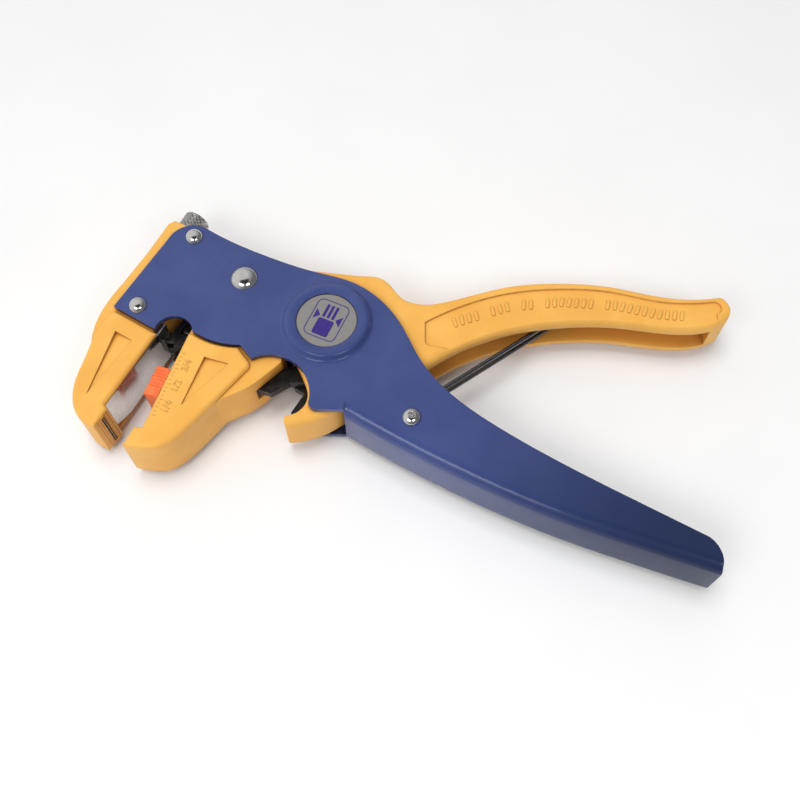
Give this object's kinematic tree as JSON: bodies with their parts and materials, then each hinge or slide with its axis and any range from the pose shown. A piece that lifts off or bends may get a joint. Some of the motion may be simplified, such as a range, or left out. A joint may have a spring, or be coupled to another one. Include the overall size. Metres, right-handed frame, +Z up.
{
  "type": "wire stripper",
  "caption": "Duck-bill automatic wire stripper: folded steel frame, fixed and moving jaws, squeeze handle with return spring, length stop, wire cutter and knurled adjuster.",
  "frame": {"origin": "centre of the footprint of the tool lying on its side, on the surface that it rests on", "axes": "+X from the jaws towards the handle ends, +Y from the folded lower handle towards the squeeze handle, +Z up through the thickness of the tool"},
  "size_m": [0.1779, 0.112, 0.0207],
  "materials": {
    "blue_paint": "gloss",
    "yellow_body": "satin",
    "orange_plastic": "satin",
    "chrome": "polished",
    "badge_metal": "satin",
    "steel": "satin",
    "polished_steel": "polished",
    "knob_metal": "satin",
    "black_steel": "satin",
    "spring_wire": "gloss",
    "black_plastic": "satin"
  },
  "bodies": {
    "frame": {"frame_shell": "blue_paint", "badge_front": "badge_metal", "badge_back": "badge_metal", "handle_pivot_pin": "steel", "jaw_pivot_rivet": "chrome", "fixed_jaw_rivets": "chrome", "spring_rivet": "chrome", "spring_bush": "black_plastic", "spring_anchor": "spring_wire", "fixed_jaw": "yellow_body", "fixed_blade": "steel"},
    "handle": {"squeeze_handle": "yellow_body", "drawbar_pin": "steel", "crank_pin": "steel", "cutter_blade": "black_steel", "cutter_rivets": "steel"},
    "jaw": {"moving_jaw": "yellow_body", "strut_pin": "steel", "moving_blade": "steel"},
    "strut": {"closing_strut": "black_steel"},
    "drawbar": {"drawbar": "black_steel", "slide_pin": "steel"},
    "fixed_slide": {"fixed_jaw_slide": "polished_steel", "slide_fork": "black_steel"},
    "moving_slide": {"moving_jaw_slide": "black_steel"},
    "stop": {"length_stop": "orange_plastic"},
    "spring": {"return_spring": "spring_wire"},
    "adjuster": {"adjuster_screw": "knob_metal"},
    "nut": {"adjuster_nut": "steel"}
  },
  "joints": [
    {"name": "handle_squeeze", "type": "hinge", "parent": "frame", "child": "handle", "pos_m": [-0.02245, 0.01345, 0.01035], "axis": [0, 0, -1], "range_deg": [0, 21], "stiffness_Nm_per_rad": 0.9, "springref_deg": -25.78},
    {"name": "jaw_close", "type": "hinge", "parent": "frame", "child": "jaw", "pos_m": [-0.04605, 0.02765, 0.01035], "axis": [0, 0, -1], "range_deg": [0, 8.35]},
    {"name": "strut_swing", "type": "hinge", "parent": "jaw", "child": "strut", "pos_m": [-0.04125, -0.00175, 0.01035], "axis": [0, 0, 1], "range_deg": [0, 15.1]},
    {"name": "drawbar_swing", "type": "hinge", "parent": "handle", "child": "drawbar", "pos_m": [-0.03145, 0.02495, 0.01035], "axis": [0, 0, 1], "range_deg": [0, 13]},
    {"name": "fixed_slide_pull", "type": "slide", "parent": "frame", "child": "fixed_slide", "axis": [0.4617, 0.887, 0], "range_m": [0, 0.00775]},
    {"name": "moving_slide_pull", "type": "slide", "parent": "jaw", "child": "moving_slide", "axis": [0.3156, 0.9489, 0], "range_m": [0, 0.0066]},
    {"name": "length_stop_slide", "type": "slide", "parent": "jaw", "child": "stop", "axis": [0.3156, 0.9489, 0], "range_m": [-0.006, 0.003]},
    {"name": "spring_swing", "type": "hinge", "parent": "frame", "child": "spring", "pos_m": [0.00045, -0.01525, 0.01035], "axis": [0, 0, -1], "range_deg": [0, 34.8]},
    {"name": "adjuster_turn", "type": "hinge", "parent": "frame", "child": "adjuster", "pos_m": [-0.06555, 0.04905, 0.01035], "axis": [0.4384, 0.8988, 0], "range_deg": [-720, 720]},
    {"name": "adjuster_nut_slide", "type": "slide", "parent": "frame", "child": "nut", "axis": [0.4384, 0.8988, 0], "range_m": [-0.00141, 0.00141]}
  ],
  "couplings": [
    {"joint": "jaw_close", "follows": "handle_squeeze", "ratio": 0.39524},
    {"joint": "strut_swing", "follows": "handle_squeeze", "ratio": 0.71481},
    {"joint": "drawbar_swing", "follows": "handle_squeeze", "ratio": 0.61538},
    {"joint": "fixed_slide_pull", "follows": "handle_squeeze", "m_per_rad": 0.021008},
    {"joint": "moving_slide_pull", "follows": "handle_squeeze", "m_per_rad": 0.017734},
    {"joint": "spring_swing", "follows": "handle_squeeze", "ratio": 1.64},
    {"joint": "adjuster_nut_slide", "follows": "adjuster_turn", "m_per_rad": 0.00011141}
  ]
}
